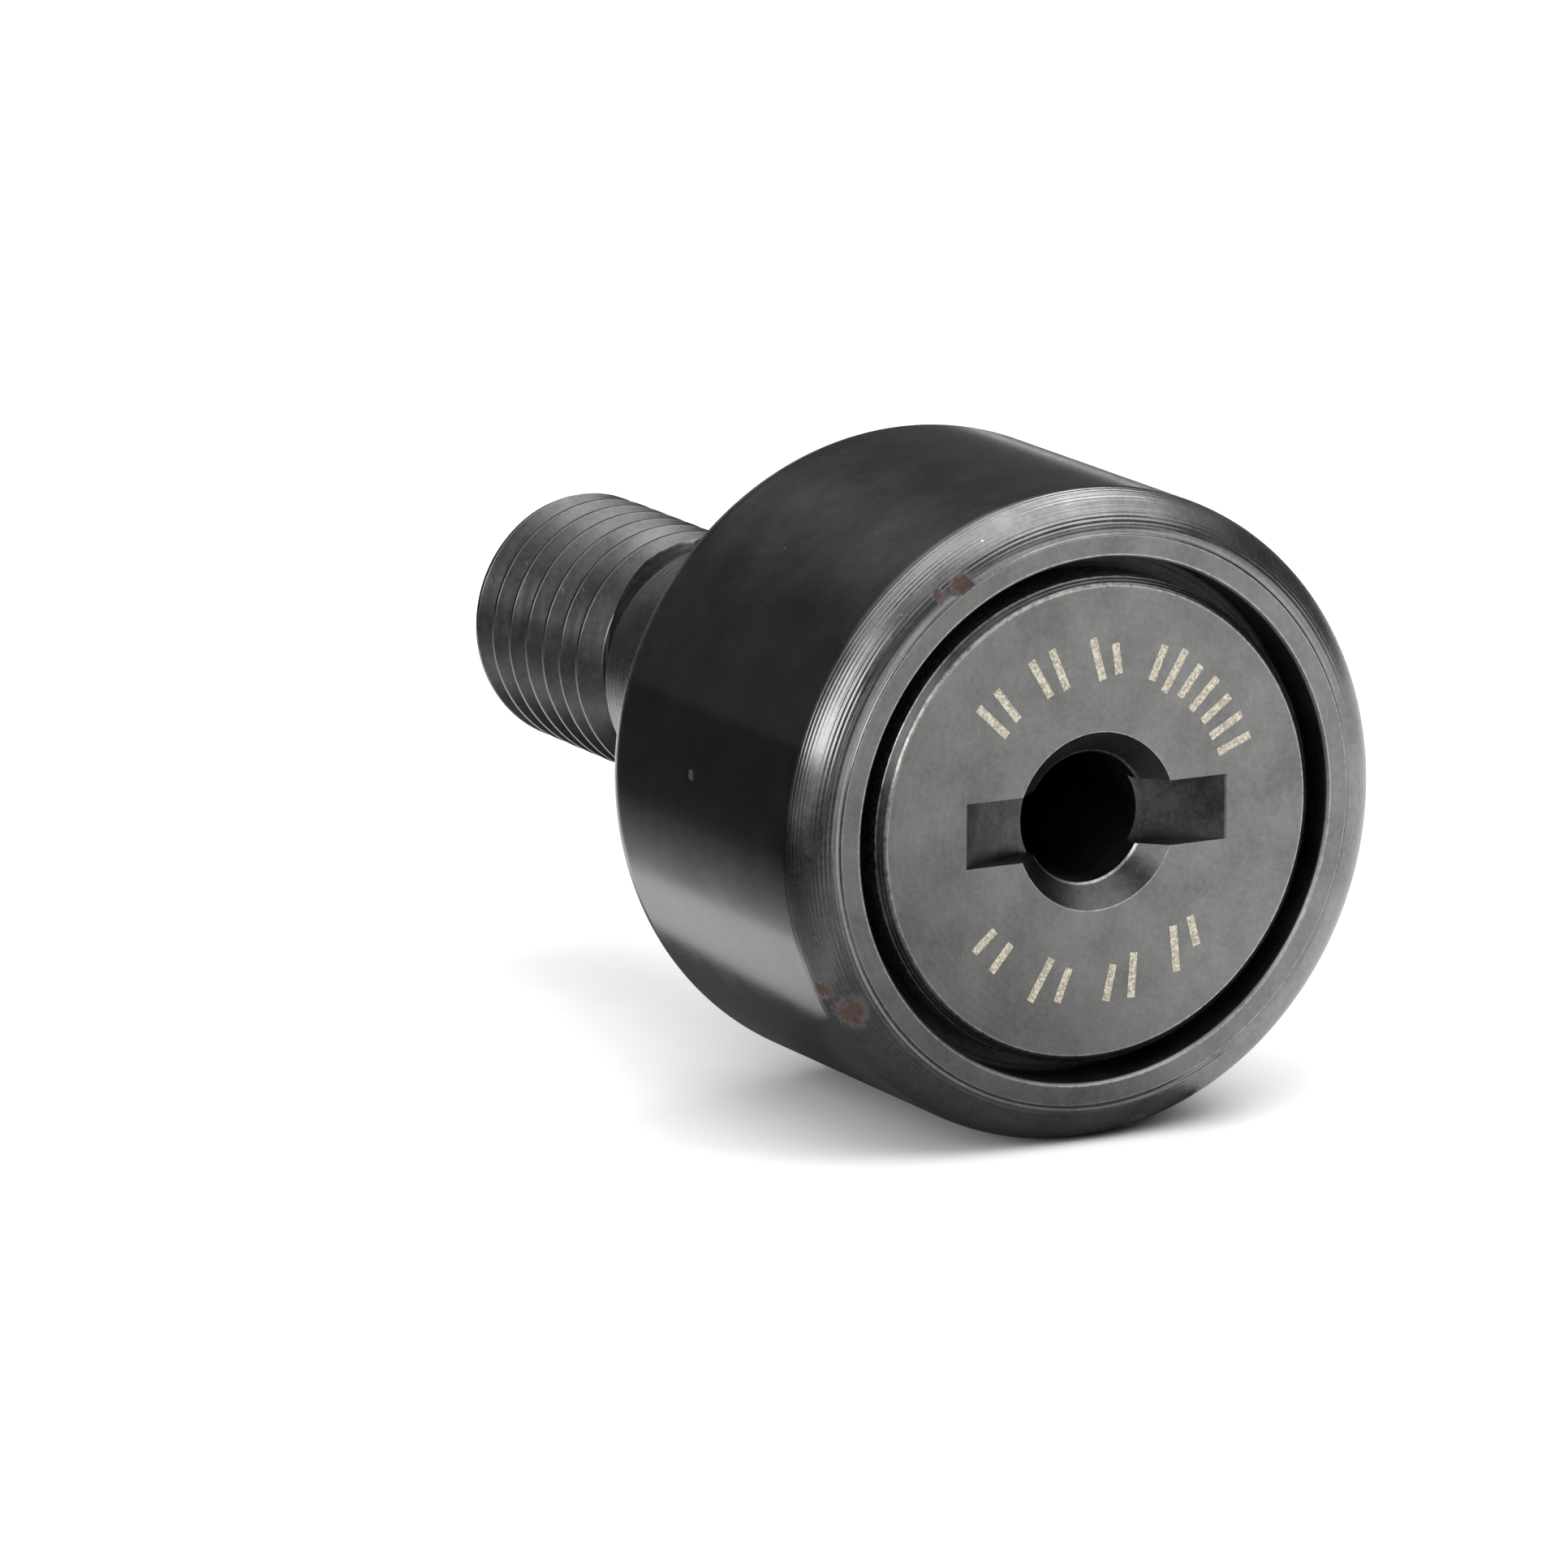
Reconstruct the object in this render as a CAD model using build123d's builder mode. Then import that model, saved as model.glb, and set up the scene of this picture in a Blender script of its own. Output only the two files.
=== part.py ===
from build123d import *
from math import cos, radians, sin, sqrt, tan
import os

# Stud-type cam follower, inch series, roller diameter 5/8 in, narrow roller.
# Frame: the origin is the centre of the stud on the shoulder plane, where the follower meets its
# bracket. +Y runs along the stud, away from the roller, +Z is up and the driver slot runs along X.

INCH = 25.4

# Catalogue dimensions
roller_dia = 5 / 8 * INCH
roller_width = 13 / 32 * INCH
shoulder_to_front = 7 / 16 * INCH
stud_dia = 1 / 4 * INCH
stud_length = 5 / 8 * INCH
thread_length = 5 / 16 * INCH
threads_per_inch = 28
lube_hole_dia = 1 / 8 * INCH
driver_slot_width = 1 / 16 * INCH

# Rolling set: inner raceway, needles, outer raceway
raceway_dia = 5 / 16 * INCH
needle_dia = 1 / 16 * INCH
needle_count = 18
needle_play = 0.02
needle_end_round = 0.12

# Outer ring
ring_corner_radius = 1.05
ring_bore_chamfer = 0.07
recess_dia = 12.76
axial_play = 0.08

# Flange (the slotted disc at the front) and pressed-on end plate at the back
flange_dia = 11.86
flange_thickness = 1.25
flange_edge_chamfer = 0.22
end_plate_dia = 12.1
end_plate_thickness = 1.95
end_plate_edge_chamfer = 0.2
end_plate_seat_dia = 7.1

# Stud details
stud_tip_chamfer = 0.7
relief_depth_below_root = 0.03
relief_side_width = 0.18
lube_hole_depth = 6.4
countersink_dia = 4.35
cross_hole_dia = 1.2
slot_cutter_dia = 1 / 2 * INCH
slot_length = 7.14

# Places along Y
front_y = -shoulder_to_front
flange_back_y = front_y + flange_thickness
plate_inner_y = -end_plate_thickness
ring_back_y = front_y + roller_width
track_front_y = flange_back_y + axial_play
track_back_y = plate_inner_y - axial_play
thread_start_y = stud_length - thread_length

# Radii of the rolling set
needle_circle_radius = raceway_dia / 2 + needle_play + needle_dia / 2
outer_track_radius = needle_circle_radius + needle_dia / 2 + needle_play

os.makedirs("parts", exist_ok=True)


def save(piece, name):
    """Labels a finished piece and writes its STEP file."""
    piece.part.label = name
    export_step(piece.part, f"parts/{name}.step")
    print(f"{name}: {piece.part.volume:.3f} mm3")


# ---------------------------------------------------------------- thread form
# 60 degree unified thread: the groove's width at the crest leaves a flat of an eighth of the pitch.
pitch = INCH / threads_per_inch
thread_depth = 0.6134 * pitch
groove_root = pitch / 6
cutter_overlap = 0.08


def groove_width(depth_above_root):
    """Width of the 60 degree groove at a height above its root."""
    return groove_root + 2 * depth_above_root * tan(radians(30))


def groove_section(path):
    """Section of the thread groove, square to the path, with its root on the path's start."""
    start = path @ 0
    outward = Vector(start.X, 0, start.Z)
    with BuildSketch(Plane(origin=start, x_dir=outward, z_dir=path % 0)) as section:
        with BuildLine():
            top = thread_depth + cutter_overlap
            Polyline((0, -groove_root / 2), (top, -groove_width(top) / 2),
                     (top, groove_width(top) / 2), (0, groove_root / 2), close=True)
        make_face()
    return section.sketch


root_radius = stud_dia / 2 - thread_depth

# A relief groove one pitch wide parts the thread from the shank. The helix starts in its middle,
# where the cutter is clear of the shank, and ends past the tip.
relief_width = pitch
relief_radius = root_radius - relief_depth_below_root
relief_end_y = thread_start_y + relief_width
thread_path = Helix(pitch, thread_length + pitch / 2, root_radius,
                    center=(0, thread_start_y + relief_width / 2, 0), direction=(0, 1, 0))

# ---------------------------------------------------------------- stud
# Flange, inner raceway, end plate seat, plain shank and threaded end are turned in one piece.
with BuildPart() as stud:
    with BuildSketch(Plane.XY):
        with BuildLine():
            Polyline(
                (0, front_y),
                (flange_dia / 2 - flange_edge_chamfer, front_y),
                (flange_dia / 2, front_y + flange_edge_chamfer),
                (flange_dia / 2, flange_back_y),
                (raceway_dia / 2, flange_back_y),
                (raceway_dia / 2, plate_inner_y),
                (end_plate_seat_dia / 2, plate_inner_y),
                (end_plate_seat_dia / 2, 0),
                (stud_dia / 2, 0),
                (stud_dia / 2, thread_start_y),
                (relief_radius, thread_start_y + relief_side_width),
                (relief_radius, relief_end_y - relief_side_width),
                (stud_dia / 2, relief_end_y),
                (stud_dia / 2, stud_length - stud_tip_chamfer),
                (stud_dia / 2 - stud_tip_chamfer, stud_length),
                (0, stud_length),
                close=True,
            )
        make_face()
    revolve(axis=Axis.Y)

    # The lubrication hole, drilled from the front face and countersunk, ends in a drill point.
    with BuildSketch(Plane.XY):
        with BuildLine():
            hole_end_y = front_y + lube_hole_depth
            countersink_depth = (countersink_dia - lube_hole_dia) / 2
            Polyline(
                (0, front_y),
                (countersink_dia / 2, front_y),
                (lube_hole_dia / 2, front_y + countersink_depth),
                (lube_hole_dia / 2, hole_end_y),
                (0, hole_end_y + lube_hole_dia / 2 * tan(radians(31))),
                close=True,
            )
        make_face()
    revolve(axis=Axis.Y, mode=Mode.SUBTRACT)

    # The cross hole feeds the middle of the raceway from the lubrication hole.
    cross_hole_y = (track_front_y + track_back_y) / 2
    with Locations((0, cross_hole_y, 0)):
        Cylinder(cross_hole_dia / 2, raceway_dia + 1, mode=Mode.SUBTRACT)

    # The driver slot is plunged with a disc cutter, so its floor is an arc.
    cutter_radius = slot_cutter_dia / 2
    cutter_y = front_y - sqrt(cutter_radius**2 - (slot_length / 2) ** 2)
    with Locations((0, cutter_y, 0)):
        Cylinder(cutter_radius, driver_slot_width, mode=Mode.SUBTRACT)

    # The thread is one helical groove.
    sweep(groove_section(thread_path), path=thread_path, is_frenet=True, mode=Mode.SUBTRACT)
save(stud, "stud")

# ---------------------------------------------------------------- outer ring
# Both ends have the same recess, which the flange and the end plate sink into, and the same
# rounded corner outside.
with BuildPart() as outer_ring:
    with BuildSketch(Plane.XY):
        with Locations((outer_track_radius, front_y)):
            Rectangle(roller_dia / 2 - outer_track_radius, roller_width, align=(Align.MIN, Align.MIN))
        recess_width = recess_dia / 2 - outer_track_radius
        with Locations((outer_track_radius, front_y)):
            Rectangle(recess_width, track_front_y - front_y, align=(Align.MIN, Align.MIN),
                      mode=Mode.SUBTRACT)
        with Locations((outer_track_radius, ring_back_y)):
            Rectangle(recess_width, ring_back_y - track_back_y, align=(Align.MIN, Align.MAX),
                      mode=Mode.SUBTRACT)
    revolve(axis=Axis.Y)
    rims = outer_ring.edges().filter_by(GeomType.CIRCLE)
    outer_rims = rims.filter_by(lambda edge: edge.radius > roller_dia / 2 - 0.01)
    fillet(outer_rims, ring_corner_radius)
    rims = outer_ring.edges().filter_by(GeomType.CIRCLE)
    recess_rims = rims.filter_by(lambda edge: abs(edge.radius - recess_dia / 2) < 0.01)
    end_rims = recess_rims.filter_by(
        lambda edge: edge.center().Y < front_y + 0.01 or edge.center().Y > ring_back_y - 0.01)
    chamfer(end_rims, ring_bore_chamfer)
save(outer_ring, "outer_ring")

# ---------------------------------------------------------------- end plate
# A washer pressed onto its seat, against the raceway's shoulder. It stands proud of the ring.
with BuildPart() as end_plate:
    with BuildSketch(Plane.XZ):
        Circle(end_plate_dia / 2)
        Circle(end_plate_seat_dia / 2, mode=Mode.SUBTRACT)
    extrude(amount=end_plate_thickness)
    plate_rims = end_plate.edges().filter_by(GeomType.CIRCLE)
    outer_plate_rims = plate_rims.filter_by(lambda edge: edge.radius > end_plate_dia / 2 - 0.01)
    chamfer(outer_plate_rims, end_plate_edge_chamfer)
save(end_plate, "end_plate")

# ---------------------------------------------------------------- needle rollers
# A full complement with no cage, the first one at the top.
for number in range(1, needle_count + 1):
    angle = radians(90 - 360 / needle_count * (number - 1))
    centre = (needle_circle_radius * cos(angle), needle_circle_radius * sin(angle))
    with BuildPart() as needle:
        with BuildSketch(Plane.XZ.offset(-track_back_y)):
            with Locations(centre):
                Circle(needle_dia / 2)
        extrude(amount=track_back_y - track_front_y)
        fillet(needle.edges().filter_by(GeomType.CIRCLE), needle_end_round)
    save(needle, f"needle_roller_{number:02d}")
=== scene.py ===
# %% [markdown]
# # A stud cam follower
# A cam follower is a thick steel roller on a stud. The stud is bolted to a lever, and the roller
# follows the edge of a turning cam. Inside, a full set of needles lets the roller turn freely.
# This lesson starts from the measured model, which fixes every size and place, and gives each
# piece the fine shape and the finish that the eye reads as black, oiled, machined steel.

# %% Load the measured model
from math import cos, pi, radians, sin, tan

import bmesh
import bpy
from mathutils import Matrix, Vector


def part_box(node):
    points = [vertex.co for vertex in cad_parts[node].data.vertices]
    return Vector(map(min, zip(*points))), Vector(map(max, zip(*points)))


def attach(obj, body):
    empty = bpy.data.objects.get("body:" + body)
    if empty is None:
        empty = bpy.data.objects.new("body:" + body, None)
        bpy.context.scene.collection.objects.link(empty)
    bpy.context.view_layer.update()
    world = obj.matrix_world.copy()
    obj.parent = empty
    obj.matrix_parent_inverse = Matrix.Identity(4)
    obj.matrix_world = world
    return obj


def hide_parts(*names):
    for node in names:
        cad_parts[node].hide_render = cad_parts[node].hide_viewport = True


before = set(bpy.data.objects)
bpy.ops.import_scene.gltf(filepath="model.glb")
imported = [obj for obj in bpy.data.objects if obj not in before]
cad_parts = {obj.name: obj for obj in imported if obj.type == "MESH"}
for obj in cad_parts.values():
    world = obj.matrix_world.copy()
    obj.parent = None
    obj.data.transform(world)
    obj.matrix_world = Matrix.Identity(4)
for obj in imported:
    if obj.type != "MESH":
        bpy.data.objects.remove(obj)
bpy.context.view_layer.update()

# %% [markdown]
# ## Sizes
# Blender works in metres, and a maker thinks in millimetres, so one value turns one into the
# other. The big sizes are read from the model. The small ones, such as edge roundings, are a
# machinist's usual values.

# %% Sizes read from the model
MM = 0.001
ring_low, ring_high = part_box("outer_ring")
stud_low, stud_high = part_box("stud")
plate_low, plate_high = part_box("end_plate")
needle_low, needle_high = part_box("needle_roller_01")

ring_radius = ring_high.x
ring_front, ring_back = ring_low.y, ring_high.y
ring_middle = (ring_front + ring_back) / 2
flange_radius = stud_high.z
flange_front, stud_tip = stud_low.y, stud_high.y
plate_radius = plate_high.z
plate_inner, plate_outer = plate_low.y, plate_high.y
needle_radius = (needle_high.x - needle_low.x) / 2
needle_circle_radius = (needle_high.z + needle_low.z) / 2
print("roller diameter in mm:", round(2 * ring_radius / MM, 3))

# %% Sizes of the turned details
ring_corner = 1.05 * MM
recess_radius = 6.38 * MM
track_front = ring_front + 1.33 * MM
track_back = -2.03 * MM
track_radius = needle_circle_radius + needle_radius + 0.02 * MM
flange_back = flange_front + 1.25 * MM
raceway_radius = needle_circle_radius - needle_radius - 0.02 * MM
seat_radius = 3.55 * MM
shank_radius = 3.175 * MM
tip_chamfer = 0.7 * MM
hole_radius = 1.5875 * MM
hole_end = flange_front + 6.4 * MM
countersink_radius = 2.175 * MM
slot_width = 1.5875 * MM
slot_length = 7.14 * MM
slot_cutter_radius = 6.35 * MM
turn_steps = 192
print("needle track radii in mm:", round(raceway_radius / MM, 3), round(track_radius / MM, 3))

# %% [markdown]
# ## One function for nodes
# Every tree in this lesson, for shapes and for finishes, is built with the same small function.
# It adds a node, sets its options, and fills its inputs with plain values or with links.

# %% Add a node
def add(tree, kind, inputs=None, **options):
    """Adds a node. An input may be a plain value or another node's output."""
    node = tree.nodes.new(kind)
    for name, value in options.items():
        setattr(node, name, value)
    for socket, value in (inputs or {}).items():
        if isinstance(value, bpy.types.NodeSocket):
            tree.links.new(value, node.inputs[socket])
        else:
            node.inputs[socket].default_value = value
    return node


def compute(tree, operation, first, second=0.0, third=0.0):
    """Adds a Math node and returns its result."""
    return add(tree, "ShaderNodeMath", {0: first, 1: second, 2: third}, operation=operation).outputs[0]


def shape_tree(name, inputs):
    """Makes a shape tree with named inputs and one output, and returns it with its inputs."""
    tree = bpy.data.node_groups.new(name, "GeometryNodeTree")
    for socket, kind in inputs.items():
        tree.interface.new_socket(socket, in_out="INPUT", socket_type="NodeSocket" + kind)
    tree.interface.new_socket("Shape", in_out="OUTPUT", socket_type="NodeSocketGeometry")
    return tree, add(tree, "NodeGroupInput").outputs


def close_tree(tree, given, shape):
    """Ends a shape tree: makes its instances real and gives them their finish."""
    real = add(tree, "GeometryNodeRealizeInstances", {0: shape})
    finish = add(tree, "GeometryNodeSetMaterial",
                 {"Geometry": real.outputs[0], "Material": given["Finish"]})
    add(tree, "NodeGroupOutput", {"Shape": finish.outputs[0]})


# %% [markdown]
# ## Turned shapes
# Nearly every surface here was cut on a lathe: an outline, swept once round the axis. A Spin
# modifier could do it, but a small Geometry Nodes tree keeps the outline's own corners exactly
# where they are drawn. The tree makes a grid with one row for each point of the outline and one
# column for each step of the turn, and moves every grid point to its place round the Y axis.

# %% The lathe tree
def rows_and_columns(tree, columns):
    """Returns each grid point's row and column, worked out from its index."""
    index = add(tree, "GeometryNodeInputIndex").outputs[0]
    row = compute(tree, "FLOOR", compute(tree, "DIVIDE", compute(tree, "ADD", index, 0.5), columns))
    return row, compute(tree, "SUBTRACT", index, compute(tree, "MULTIPLY", row, columns))


def outline_point(tree, given, number):
    """Returns the place of the outline's point with this number."""
    place = add(tree, "GeometryNodeInputPosition").outputs[0]
    return add(tree, "GeometryNodeSampleIndex",
               {"Geometry": given["Outline"], "Value": place, "Index": number},
               data_type="FLOAT_VECTOR").outputs[0]


def swept_mesh(tree, grid, point, share, offset=(0, 0, 0)):
    """Turns each point of a grid round Y by its share of a turn, and merges what meets."""
    turned = add(tree, "ShaderNodeVectorRotate",
                 {"Vector": point, "Angle": compute(tree, "MULTIPLY", share, 2 * pi)},
                 rotation_type="Y_AXIS").outputs[0]
    moved = add(tree, "GeometryNodeSetPosition",
                {"Geometry": grid, "Position": turned, "Offset": offset}).outputs[0]
    return add(tree, "GeometryNodeMergeByDistance", {"Geometry": moved, "Distance": 1e-6}).outputs[0]


def lathe_tree():
    """Sweeps an outline once round the Y axis."""
    tree, given = shape_tree("Lathe", {"Outline": "Geometry", "Steps": "Int", "Offset": "Vector",
                                       "Finish": "Material"})
    count = add(tree, "GeometryNodeAttributeDomainSize", {0: given["Outline"]}).outputs["Point Count"]
    columns = compute(tree, "ADD", given["Steps"], 1)
    grid = add(tree, "GeometryNodeMeshGrid", {"Vertices X": count, "Vertices Y": columns})
    row, column = rows_and_columns(tree, columns)
    share = compute(tree, "DIVIDE", column, given["Steps"])
    solid = swept_mesh(tree, grid.outputs["Mesh"], outline_point(tree, given, row), share,
                       given["Offset"])
    close_tree(tree, given, solid)
    return tree


lathe = lathe_tree()
print("lathe tree nodes:", len(lathe.nodes))

# %% [markdown]
# A tree runs as a modifier on an object. Its inputs are set by the socket's identifier, and the
# result is copied out as a plain mesh, so that nothing live is left on the finished piece.

# %% Run a tree once and keep the mesh
def run_tree(name, tree, start, settings):
    """Runs a shape tree on a starting mesh and returns the object with its plain result."""
    piece = bpy.data.objects.new(name, start)
    bpy.context.scene.collection.objects.link(piece)
    modifier = piece.modifiers.new(tree.name, "NODES")
    modifier.node_group = tree
    for socket in tree.interface.items_tree:
        if socket.in_out == "INPUT" and socket.name in settings:
            modifier[socket.identifier] = settings[socket.name]
    keep_result(piece)
    return piece


def keep_result(piece):
    """Replaces an object's mesh by its modifiers' result, with its faces turned outwards."""
    bpy.context.view_layer.update()
    evaluated = piece.evaluated_get(bpy.context.evaluated_depsgraph_get())
    result = bpy.data.meshes.new_from_object(evaluated)
    piece.modifiers.clear()
    piece.data = result
    result.name = piece.name
    if result.materials[0] is None:
        result.materials.pop(index=0)
    work = bmesh.new()
    work.from_mesh(result)
    bmesh.ops.remove_doubles(work, verts=work.verts, dist=1e-7)
    bmesh.ops.recalc_face_normals(work, faces=work.faces)
    work.to_mesh(result)
    work.free()


# %% [markdown]
# ## Outlines with rounded corners
# No real edge is perfectly sharp, and the thin light line along an edge is what makes metal look
# solid. An outline is a list of corners, each with its own rounding. A round corner becomes an
# arc, and a point is kept just past each end of the arc, so that smooth shading stays on the
# rounding and leaves the flats beside it flat.

# %% Draw an outline
def outline(name, corners, arc_steps=6, hold=0.02 * MM):
    """Makes a line mesh from corners (radius from the axis, place along it, rounding)."""
    points = []
    for number, (across, along, rounding) in enumerate(corners):
        here = Vector((across, along, 0))
        if rounding == 0:
            points.append(here)
            continue
        before = (Vector((*corners[number - 1][:2], 0)) - here).normalized()
        after = (Vector((*corners[number + 1][:2], 0)) - here).normalized()
        half_angle = before.angle(after) / 2
        reach = rounding / tan(half_angle)
        centre = here + (before + after).normalized() * (rounding / sin(half_angle))
        start = (here + before * reach - centre).normalized()
        end = (here + after * reach - centre).normalized()
        points.append(here + before * (reach + hold))
        for step in range(arc_steps + 1):
            points.append(centre + start.slerp(end, step / arc_steps) * rounding)
        points.append(here + after * (reach + hold))
    mesh = bpy.data.meshes.new(name)
    mesh.from_pydata(points, [(i, i + 1) for i in range(len(points) - 1)], [])
    return mesh


# %% [markdown]
# ## Finishes
# The whole follower is hardened steel under black oxide, a thin dark film that grows in a hot
# salt bath and is sealed with oil. It is still metal, so the shader is metallic, and the film's
# dark grey is its colour. What differs from surface to surface is how it was cut before the bath:
# ground, turned or milled; on the chamfers and in the bored recesses the grey is also darkened as
# painted shade. Colours are written as on a screen, and one function makes them linear.

# %% Colours
def linear(code):
    """Turns an sRGB hex colour into Blender's linear colour."""
    channels = [int(code[i:i + 2], 16) / 255 for i in (1, 3, 5)]
    return [c / 12.92 if c < 0.04045 else ((c + 0.055) / 1.055) ** 2.4 for c in channels] + [1.0]


# %% [markdown]
# A turned surface has lines that run round the axis. The pattern must know how far a point is
# from the axis and how far along it, so these are worked out once, in millimetres, and every
# finish on the follower uses them.

# %% Coordinates round the axis
def axis_coordinates(tree):
    """Returns the place in mm, the radius, the place along Y, and all three round the axis."""
    spot = add(tree, "ShaderNodeTexCoord").outputs["Object"]
    in_mm = add(tree, "ShaderNodeVectorMath", {0: spot, 3: 1 / MM}, operation="SCALE").outputs[0]
    split = add(tree, "ShaderNodeSeparateXYZ", {0: in_mm}).outputs
    flat = add(tree, "ShaderNodeCombineXYZ", {0: split[0], 2: split[2]}).outputs[0]
    radius = add(tree, "ShaderNodeVectorMath", {0: flat}, operation="LENGTH").outputs["Value"]
    angle = compute(tree, "ARCTAN2", split[2], split[0])
    rings = add(tree, "ShaderNodeCombineXYZ", {0: radius, 1: split[1], 2: angle}).outputs[0]
    return in_mm, radius, split[1], rings


def blend_between(tree, amount, low, high):
    """Spreads a value from low..high to 0..1 and holds it there."""
    return add(tree, "ShaderNodeMapRange", {0: amount, 1: low, 2: high}).outputs[0]


def mix_colour(tree, amount, first, second):
    """Mixes two colours, which may be hex codes or links."""
    first = linear(first) if isinstance(first, str) else first
    second = linear(second) if isinstance(second, str) else second
    return add(tree, "ShaderNodeMix", {0: amount, 6: first, 7: second}, data_type="RGBA").outputs[2]


def new_finish(name, metallic=0.0):
    """Makes a material and returns it with its node tree and its shader."""
    material = bpy.data.materials.new(name)
    material.use_nodes = True
    shader = material.node_tree.nodes["Principled BSDF"]
    shader.inputs["Metallic"].default_value = metallic
    return material, material.node_tree, shader


# %% [markdown]
# ## Black oxide
# One film covers every cut. It is built up here in the order in which it comes about: the film,
# the tool's lines under it, the marks of handling on it, and rust where the oil has gone. The bath
# takes unevenly, so the film is cloudy at about a millimetre and has a finer grain in it.

# %% The film
def film_mottle(tree, in_mm):
    """Returns the film's fine grain, and that grain mixed with clouds."""
    clouds = add(tree, "ShaderNodeTexNoise", {"Vector": in_mm, "Scale": 0.7, "Detail": 6,
                                               "Roughness": 0.6}).outputs[0]
    grain = add(tree, "ShaderNodeTexNoise", {"Vector": in_mm, "Scale": 7.0, "Detail": 6,
                                              "Roughness": 0.75}).outputs[0]
    return grain, compute(tree, "MULTIPLY_ADD", grain, 0.4, compute(tree, "MULTIPLY", clouds, 0.6))


# %% [markdown]
# A lathe tool leaves one fine groove in each turn, and a usual feed puts them 0.07 mm apart. That
# is too fine to show, so the lines are drawn two to four times as coarse. They are counted by how
# far the tool has travelled, across a face or along a cylinder, and come and go as the tool wears.

# %% The tool's lines
def tool_lines(tree, radius, along, rings, spacing):
    """Returns waves from -1 to 1 that run round the axis."""
    from_middle = compute(tree, "ABSOLUTE", compute(tree, "SUBTRACT", along, ring_middle / MM))
    travel = compute(tree, "SUBTRACT", radius, from_middle)
    wobble = add(tree, "ShaderNodeTexNoise", {"Vector": rings, "Scale": 0.8, "Detail": 3}).outputs[0]
    phase = compute(tree, "MULTIPLY_ADD", travel, 2 * pi / spacing,
                    compute(tree, "MULTIPLY", wobble, 5))
    wear = add(tree, "ShaderNodeTexNoise", {"Vector": rings, "Scale": 2.5, "Detail": 4}).outputs[0]
    return compute(tree, "MULTIPLY", compute(tree, "SINE", phase), blend_between(tree, wear, 0.3, 0.6))


# %% [markdown]
# Handling rubs short pale streaks into the film and knocks out tiny nicks, where bright steel
# shows. Along a sharp edge the film wears off, and this broken light line is what tells the eye
# that the edge is metal.

# %% Marks of handling
def rubbed_streaks(tree, in_mm, scratches):
    """Returns short streaks that lie in three directions."""
    rubbed = 0.0
    for turn, spread in ((0.5, 2.2), (2.1, 3.1), (1.3, 1.7)):
        laid = add(tree, "ShaderNodeMapping", {0: in_mm, "Rotation": (turn, turn * 0.7, turn * 1.9),
                                                "Scale": (spread * 14, spread, spread)}).outputs[0]
        field = add(tree, "ShaderNodeTexNoise", {"Vector": laid, "Scale": 0.8, "Detail": 2,
                                                  "Roughness": 0.5}).outputs[0]
        streak = blend_between(tree, field, 0.76 - 0.1 * scratches, 0.84)
        rubbed = compute(tree, "MAXIMUM", rubbed, streak)
    return rubbed


def bare_steel(tree, in_mm, radius, grain, worn):
    """Returns where the film is off: nicks, and worn edges given as (radius, width) in mm."""
    cells = add(tree, "ShaderNodeTexVoronoi", {"Vector": in_mm, "Scale": 1.4}).outputs
    bare = compute(tree, "MULTIPLY", blend_between(tree, cells["Distance"], 0.05, 0.025),
                   blend_between(tree, cells["Color"], 0.72, 0.74))
    broken = compute(tree, "MULTIPLY", blend_between(tree, grain, 0.30, 0.58), 0.55)
    for edge, width in worn:
        away = compute(tree, "ABSOLUTE", compute(tree, "SUBTRACT", radius, edge))
        line = compute(tree, "MULTIPLY", blend_between(tree, away, width, 0.3 * width), broken)
        bare = compute(tree, "MAXIMUM", bare, line)
    return bare


# %% [markdown]
# Where the oil has gone, rust starts in small ragged spots. Rust is an earth and no longer a metal,
# so in those spots the shader is brown and rough and hardly metallic.

# %% Rust
def rust_patches(tree, in_mm, grain, spots):
    """Returns ragged patches round spots given as (place, size) in mm."""
    rusty = 0.0
    for place, size in spots:
        gap = add(tree, "ShaderNodeVectorMath", {0: in_mm, 1: place}, operation="DISTANCE").outputs[1]
        ragged = compute(tree, "MULTIPLY_ADD", grain, 2.4 * size, gap)
        patch = blend_between(tree, ragged, 2.1 * size, 1.7 * size)
        rusty = compute(tree, "MAXIMUM", rusty, patch)
    return rusty


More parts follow.
